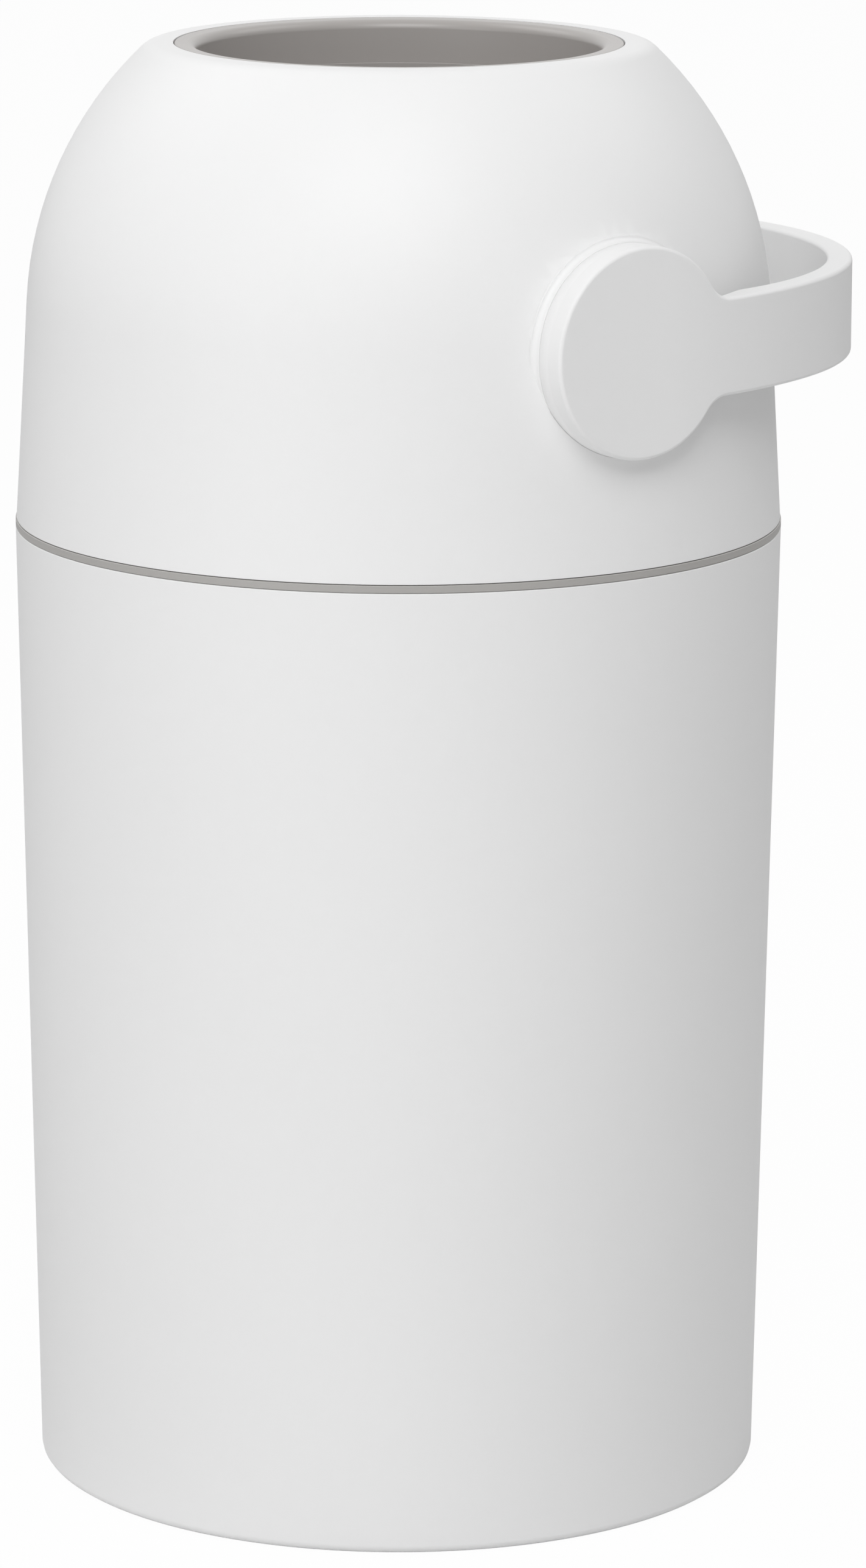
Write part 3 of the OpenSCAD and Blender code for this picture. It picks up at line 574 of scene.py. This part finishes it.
def merged_copy(node_name):
    """The mesh of a CAD node in millimetres, with its loose triangles joined."""
    bm = bmesh.new()
    bm.from_mesh(nodes[node_name].data)
    bmesh.ops.scale(bm, vec=(1 / MM,) * 3, verts=bm.verts)
    bmesh.ops.remove_doubles(bm, verts=bm.verts, dist=COPY_MERGE)
    return bm


def break_edges(bm, weight_at=lambda middle: 1.0):
    """Gives each sharp edge the share of EDGE_BREAK that its place asks for."""
    layer = bm.edges.layers.float.new("bevel_weight_edge")
    for edge in bm.edges:
        if len(edge.link_faces) == 2 and edge.calc_face_angle(0) > SHARP:
            edge[layer] = weight_at((edge.verts[0].co + edge.verts[1].co) / 2)


def finish_copy(bm, node_name, piece_name):
    """Puts the copy in the place of its node, with a bevel that follows the weights."""
    finish_mesh(bm, piece_name, slot_of_node[node_name], body_of_node[node_name], [node_name],
                weighted_bevel=True)


# %% Dome
PAD_R = 35.3                            # the channel's outer wall in the solid
PAD_SNUG_R = 34.99                      # the real pad fits the disc's rim this closely
PAD_REACH = 0.06                        # points this near to PAD_R belong to that wall
PAD_START_Y = 118.0                     # pads lie further out than this from the bin's middle
PAD_BREAK = 0.25                        # share of EDGE_BREAK on the hairline
PAD_FOOT_R = 36.8                       # the pad's fillet ends on the dome at this radius
CHANNEL_MARGIN = 2.0
FOOT_MARGIN = 1.0
HAIRLINE_MARGIN = 0.3


def from_pivot(point):
    """Distance from the axis on which the handle turns."""
    return math.hypot(point.x, point.z - PIVOT_Z)


bm = merged_copy("dome_shell")
snug = [v for v in bm.verts
        if abs(v.co.y) > PAD_START_Y and abs(from_pivot(v.co) - PAD_R) < PAD_REACH]
for v in snug:
    share = PAD_SNUG_R / from_pivot(v.co)
    v.co = (v.co.x * share, v.co.y, PIVOT_Z + (v.co.z - PIVOT_Z) * share)
print(len(snug), "points drawn in to the disc's rim")


def dome_break(middle):
    """A fine line round the disc, a crisp foot round the pad, and full radii elsewhere."""
    away = from_pivot(middle)
    if abs(middle.y) < PAD_START_Y - CHANNEL_MARGIN or away > PAD_FOOT_R + FOOT_MARGIN:
        return 1.0
    return PAD_BREAK if away < PAD_R + HAIRLINE_MARGIN else 0.0


break_edges(bm, dome_break)
finish_copy(bm, "dome_shell", "dome_moulding")

# %% [markdown]
# ## Inner mouldings
# The seat frame, the bushes, the drum's sleeve and the piston show only when the head is
# lifted or the bail is flipped. Their forms are the engineered ones, so they are copied
# too, and get the same broken edges. The drum's two side shells and the sealing rings stay
# as they came: a bevel finds no room on the shells' thin edges, and rubber lips are soft
# enough without one.

# %% Inner mouldings
COPIED = ("seat_frame", "front_bush", "rear_bush", "drum_sleeve", "stop_ring", "hub_plugs",
          "piston_lower", "piston_upper", "piston_weight")

for node_name in COPIED:
    bm = merged_copy(node_name)
    break_edges(bm)
    finish_copy(bm, node_name, node_name + "_moulding")

# %% [markdown]
# ## Screws
# Every fastener is a pan-head screw with a cross recess. Its place could be typed in, but
# each solid screw already tells where its head and its tip are, so nothing can drift apart.
# A turned shank and head go there. Planes cut a cross into the head's top, which is then
# pushed down, and that takes far fewer faces than a boolean cut.

# %% Finding the screws
NEAR_AXIS = 0.5                         # points nearer than this are the middles of flat ends
HEAD_EDGE = 0.05                        # points this near to the widest radius belong to the head
LEVEL = 0.01                            # two heights this close are the same


def islands(bm):
    """Groups the points of a mesh into its separate solids."""
    left = set(bm.verts)
    while left:
        found, front = set(), [left.pop()]
        while front:
            v = front.pop()
            found.add(v)
            near = {e.other_vert(v) for e in v.link_edges} & left
            left -= near
            front.extend(near)
        yield found


def screw_places(node_name):
    """For each screw: the middle of its head's top, the direction to its tip, its sizes."""
    bm = merged_copy(node_name)
    places = []
    for points in islands(bm):
        lo = Vector([min(v.co[i] for v in points) for i in range(3)])
        hi = Vector([max(v.co[i] for v in points) for i in range(3)])
        size = hi - lo
        axis = max(range(3), key=lambda i: size[i])
        middle = (lo + hi) / 2
        across = []
        for v in points:
            away = v.co - middle
            away[axis] = 0
            across.append((v.co[axis], away.length))
        head_r = max(r for _, r in across)
        shank_r = min(r for _, r in across if r > NEAR_AXIS)
        head = [along for along, r in across if r > head_r - HEAD_EDGE]
        at_top = abs(max(head) - hi[axis]) < LEVEL
        way = Vector((0, 0, 0))
        way[axis] = -1.0 if at_top else 1.0
        top = middle.copy()
        top[axis] = hi[axis] if at_top else lo[axis]
        places.append((top, way, size[axis], head_r, max(head) - min(head), shank_r))
    bm.free()
    return places


# %% One screw
RECESS_LONG = 1.2                       # length of the cross as a share of the head's radius
RECESS_WIDE = 0.34                      # width of its arms, as the same share
RECESS_DEEP = 0.55                      # its depth as a share of the head's height
HEAD_ROUND = 0.3                        # rounding of the head's top, as the same share
HEAD_UNDER_ROUND = 0.1
TIP_ROUND = 0.4                         # rounding of the tip as a share of the shank's radius
TOP_LEVEL = 0.001                       # faces less far down than this are the head's flat top
CUT_MERGE = 0.0001
SCREW_STEPS = 32


def on_top(face):
    return face.calc_center_median().z > -TOP_LEVEL


def add_screw(bm, top, way, length, head_r, head_h, shank_r):
    """Adds a screw to the mesh, with the middle of its head at top and its tip along way."""
    one = bmesh.new()
    turn_section(one, [
        (0, 0, 0), (head_r, 0, head_h * HEAD_ROUND), (head_r, -head_h, HEAD_UNDER_ROUND),
        (shank_r, -head_h, 0), (shank_r, -length, shank_r * TIP_ROUND), (0, -length, 0),
    ], SCREW_STEPS)
    bmesh.ops.recalc_face_normals(one, faces=one.faces)
    long, wide = head_r * RECESS_LONG / 2, head_r * RECESS_WIDE / 2
    for across in (Vector((1, 0, 0)), Vector((0, 1, 0))):
        for place in (-long, -wide, wide, long):
            crown = [f for f in one.faces if on_top(f)]
            around = {e for f in crown for e in f.edges} | {v for f in crown for v in f.verts}
            bmesh.ops.bisect_plane(one, geom=crown + list(around), dist=CUT_MERGE,
                                   plane_co=across * place, plane_no=across)
    cross = []
    for face in one.faces:
        c = face.calc_center_median()
        near, far = sorted((abs(c.x), abs(c.y)))
        if on_top(face) and near < wide and far < long:
            cross.append(face)
    pushed = bmesh.ops.extrude_face_region(one, geom=cross)
    sunk = [v for v in pushed["geom"] if isinstance(v, bmesh.types.BMVert)]
    bmesh.ops.delete(one, geom=cross, context="FACES")
    bmesh.ops.translate(one, vec=(0, 0, -head_h * RECESS_DEEP), verts=sunk)
    place = Matrix.Translation(top) @ (-way).to_track_quat("Z", "Y").to_matrix().to_4x4()
    bmesh.ops.transform(one, matrix=place, verts=one.verts)
    spare = bpy.data.meshes.new("one_screw")
    one.to_mesh(spare)
    one.free()
    bm.from_mesh(spare)
    bpy.data.meshes.remove(spare)


# %% All screws
for node_name in ("frame_screws", "bush_screws", "shell_screws", "hub_screws", "piston_screws"):
    places = screw_places(node_name)
    bm = bmesh.new()
    for place in places:
        add_screw(bm, *place)
    bmesh.ops.recalc_face_normals(bm, faces=bm.faces)
    _, _, length, head_r, _, _ = places[0]
    print(len(places), "screws, head radius", round(head_r, 2), "length", round(length, 1))
    finish_mesh(bm, node_name + "_crossed", "screw_steel", body_of_node[node_name], [node_name])

# %% [markdown]
# ## Handle
# Two discs and the bail between them are one moulding. It is drawn flat, as if the bail
# were unrolled: pen strokes made by spinning a vertex give the discs, the fillets and the
# straight bail. The outline gets its thickness and its rounded edges while it is still
# flat, where a bevel runs cleanly. Many cross cuts then let it bend round the nose. A curve
# modifier would keep one thickness all along. Moving each point by its own place on the
# bail lets the arm be thinner where it leaves the disc and thicker towards the nose.

# %% Handle sizes, millimetres
FACE_Y = 133.91                         # faces of the discs, from the bin's axis
DISC_BACK = 126.31                      # their backs
DISC_T = FACE_Y - DISC_BACK
DISC_R = 34.9
BAIL_H = 32.4
BAIL_DROP = 1.3                         # the bail's middle lies below the discs' centres
BAIL_REACH = 160.17                     # the nose's outer face, from the bin's axis
NOSE_T = 8.6                            # the bail's thickness at the nose
NOSE_R = 128.91                         # radius of the nose's outer face
INNER_R = 120.41                        # and of its inner face
FACE_FLAT = 10.0                        # the outer face is flat this far from the pivot
ARM_FILLET = 11.0                       # fillets between disc and arm
ARM_BACK_X = 36.8                       # where the arm leaves the plane of the disc's back
ARM_PITCH = 1.8                         # run of the arm's bevel for each millimetre of depth
ARM_DEPTH = 7.7                         # and the depth at which that bevel ends
HANDLE_ROUND = 1.3
HANDLE_ROUND_STEPS = 4
DISC_STEPS = 72                         # steps of the pen round a disc's half
FILLET_STEPS = 12
OUTLINE_MERGE = 0.001
CUT_START = 6.0                         # the cross cuts start just before the face curves
CUT_STEP = 3.0

NOSE_X = BAIL_REACH - NOSE_R
INNER_X = BAIL_REACH - NOSE_T - INNER_R
SIDE_R = ((NOSE_X - FACE_FLAT) ** 2 + FACE_Y ** 2 - NOSE_R ** 2) / (2 * (FACE_Y - NOSE_R))
SIDE_Y = FACE_Y - SIDE_R                # centre of the side's arc
JOIN_ANGLE = math.atan2(NOSE_X - FACE_FLAT, -SIDE_Y)
SIDE_LEN = SIDE_R * JOIN_ANGLE
NOSE_LEN = NOSE_R * (math.pi / 2 - JOIN_ANGLE)
HALF_LEN = FACE_FLAT + SIDE_LEN + NOSE_LEN
print("bail: side radius", round(SIDE_R, 1), "unrolled half", round(HALF_LEN, 1))


# %% The bail's curve, seen from above
def on_bail(u):
    """Point on the outer face and the direction inwards, u along the face from the pivot."""
    far_side = u > HALF_LEN
    if far_side:
        u = 2 * HALF_LEN - u
    if u <= FACE_FLAT:
        x, y, nx, ny = u, FACE_Y, 0.0, -1.0
    elif u <= FACE_FLAT + SIDE_LEN:
        a = (u - FACE_FLAT) / SIDE_R
        x, y = FACE_FLAT + SIDE_R * math.sin(a), SIDE_Y + SIDE_R * math.cos(a)
        nx, ny = -math.sin(a), -math.cos(a)
    else:
        a = JOIN_ANGLE + (u - FACE_FLAT - SIDE_LEN) / NOSE_R
        x, y = NOSE_X + NOSE_R * math.sin(a), NOSE_R * math.cos(a)
        nx, ny = -math.sin(a), -math.cos(a)
    return (x, y, nx, ny) if far_side else (x, -y, nx, -ny)


def hollow(x, y):
    """True inside the bail, where the dome and the fingers are."""
    y = abs(y)
    if (x - INNER_X) ** 2 + y * y < INNER_R ** 2 or (x < INNER_X and y < INNER_R):
        return True
    arm_depth = max(0.0, x - ARM_BACK_X) / ARM_PITCH
    return arm_depth < ARM_DEPTH and y < DISC_BACK - arm_depth


THINNEST = 1.0
THICKEST = 30.0
HALVINGS = 30


def bail_thickness(u):
    """Depth at which the way inwards leaves the bail, found by halving."""
    x, y, nx, ny = on_bail(u)
    near, deep = THINNEST, THICKEST
    for _ in range(HALVINGS):
        mid = (near + deep) / 2
        if hollow(x + nx * mid, y + ny * mid):
            deep = mid
        else:
            near = mid
    return near


stations = {"disc": 0, "root": 42, "side": 90, "nose": HALF_LEN}
print("thickness:", {name: round(bail_thickness(u), 2) for name, u in stations.items()})


# %% The flat outline
def stroke(bm, vert, centre, degrees, steps):
    """Draws an arc from a vertex by spinning it about a centre, and gives its last vertex."""
    made = bmesh.ops.spin(bm, geom=[vert], cent=(*centre, 0), axis=(0, 0, 1), dvec=(0, 0, 0),
                          angle=math.radians(degrees), steps=steps, use_duplicate=False)
    return [e for e in made["geom_last"] if isinstance(e, bmesh.types.BMVert)][0]


bm = bmesh.new()
tip = bm.verts.new((-DISC_R, 0, 0))
for side in (1, -1):
    fillet_z = side * (BAIL_H / 2 + ARM_FILLET) - BAIL_DROP
    fillet_x = math.sqrt((DISC_R + ARM_FILLET) ** 2 - fillet_z ** 2)
    root_angle = math.degrees(math.atan2(abs(fillet_z), fillet_x))
    pen = stroke(bm, tip, (0, 0), -side * (180 - root_angle), DISC_STEPS)
    pen = stroke(bm, pen, (fillet_x, fillet_z), side * (90 - root_angle), FILLET_STEPS)
    end = bm.verts.new((HALF_LEN, side * BAIL_H / 2 - BAIL_DROP, 0))
    bm.edges.new((pen, end))
bmesh.ops.mirror(bm, geom=bm.verts[:] + bm.edges[:],
                 matrix=Matrix.Translation((-HALF_LEN, 0, 0)), axis="X", merge_dist=OUTLINE_MERGE)
bmesh.ops.remove_doubles(bm, verts=bm.verts, dist=OUTLINE_MERGE)
print("outline", len(bm.verts), "points", len(bm.edges), "edges")

# %% Thickness, rounded edges and cross cuts
bmesh.ops.contextual_create(bm, geom=bm.edges[:])
slab = bmesh.ops.extrude_face_region(bm, geom=bm.faces[:])
lifted = [v for v in slab["geom"] if isinstance(v, bmesh.types.BMVert)]
bmesh.ops.translate(bm, vec=(0, 0, -DISC_T), verts=lifted)
bmesh.ops.recalc_face_normals(bm, faces=bm.faces)
rim = [e for e in bm.edges if abs(e.verts[0].co.z - e.verts[1].co.z) < LEVEL]
bmesh.ops.bevel(bm, geom=rim, offset=HANDLE_ROUND, offset_type="OFFSET",
                segments=HANDLE_ROUND_STEPS, profile=0.5, affect="EDGES", material=-1)
cut = CUT_START
while cut < 2 * HALF_LEN - CUT_START:
    bmesh.ops.bisect_plane(bm, geom=bm.verts[:] + bm.edges[:] + bm.faces[:], dist=CUT_MERGE,
                           plane_co=(cut, 0, 0), plane_no=(1, 0, 0))
    cut += CUT_STEP
print("slab", len(bm.verts), "points", len(bm.faces), "faces")

# %% Bend it round the nose
thickness = {}                          # found once for each cross cut
for v in bm.verts:
    u, z, w = v.co
    station = round(u, 3)
    if station not in thickness:
        thickness[station] = bail_thickness(min(max(u, 0), 2 * HALF_LEN))
    deep = -w if w > -DISC_T / 2 else -w + thickness[station] - DISC_T
    x, y, nx, ny = on_bail(u)
    v.co = (x + nx * deep, y + ny * deep, z + PIVOT_Z)

# %% [markdown]
# Behind each disc stand a rim, which sinks into a channel of the dome, and a stub with a
# square key, which turns the drum. All three are rings round the pivot, so one helper spins
# them from four corners. The key is spun too, in four steps, which leaves it square.

# %% Rims, stubs and keys
RIM_WALL = 1.8
RIM_END = 123.0                         # the rim's inner end, from the bin's axis
RIM_UNDER = 0.01                        # the rim stays a hair under the disc's own edge
RIM_STEPS = 144
STUB_R = 12.9
STUB_END = 116.51
STUB_SINK = 0.1                         # how far the stub runs into the disc
STUB_STEPS = 64
KEY_W = 9.6
KEY_END = 108.41
KEY_SINK = 1.0                          # how far the key runs into the stub
KEY_SIDES = 4
KEY_CORNER = math.sqrt(2)               # from a square's half width to its corner
KEY_FIRST = 45                          # degrees, to stand the square on its side
SCREW_HOLE_R = 2.05


def ring_on_pivot(bm, side, inner, outer, start, end, steps, first=0.0):
    """A ring round the pivot's axis, from start to end along Y, its first corner turned."""
    turn = Matrix.Rotation(math.radians(first), 3, "Y")
    ring = [bm.verts.new(turn @ Vector((r, side * y, 0)) + Vector((0, 0, PIVOT_Z)))
            for r, y in ((inner, start), (outer, start), (outer, end), (inner, end))]
    edges = [bm.edges.new(pair) for pair in zip(ring, ring[1:] + ring[:1])]
    bmesh.ops.spin(bm, geom=ring + edges, cent=(0, 0, PIVOT_Z), axis=(0, 1, 0), dvec=(0, 0, 0),
                   angle=2 * math.pi, steps=steps, use_merge=True, use_duplicate=False)


for side in (-1, 1):
    ring_on_pivot(bm, side, DISC_R - RIM_WALL, DISC_R - RIM_UNDER, RIM_END,
                  DISC_BACK + 2 * HANDLE_ROUND, RIM_STEPS)
    ring_on_pivot(bm, side, SCREW_HOLE_R, STUB_R, STUB_END, DISC_BACK + STUB_SINK, STUB_STEPS)
    ring_on_pivot(bm, side, SCREW_HOLE_R * KEY_CORNER, KEY_W / 2 * KEY_CORNER, KEY_END,
                  STUB_END + KEY_SINK, KEY_SIDES, KEY_FIRST)
bmesh.ops.recalc_face_normals(bm, faces=bm.faces)
handle = finish_mesh(bm, "handle_moulding", "shell_white", "drum", ["handle"])
lo = [min(v.co[i] for v in handle.data.vertices) / MM for i in range(3)]
hi = [max(v.co[i] for v in handle.data.vertices) / MM for i in range(3)]
print("handle from", [round(v, 1) for v in lo], "to", [round(v, 1) for v in hi])
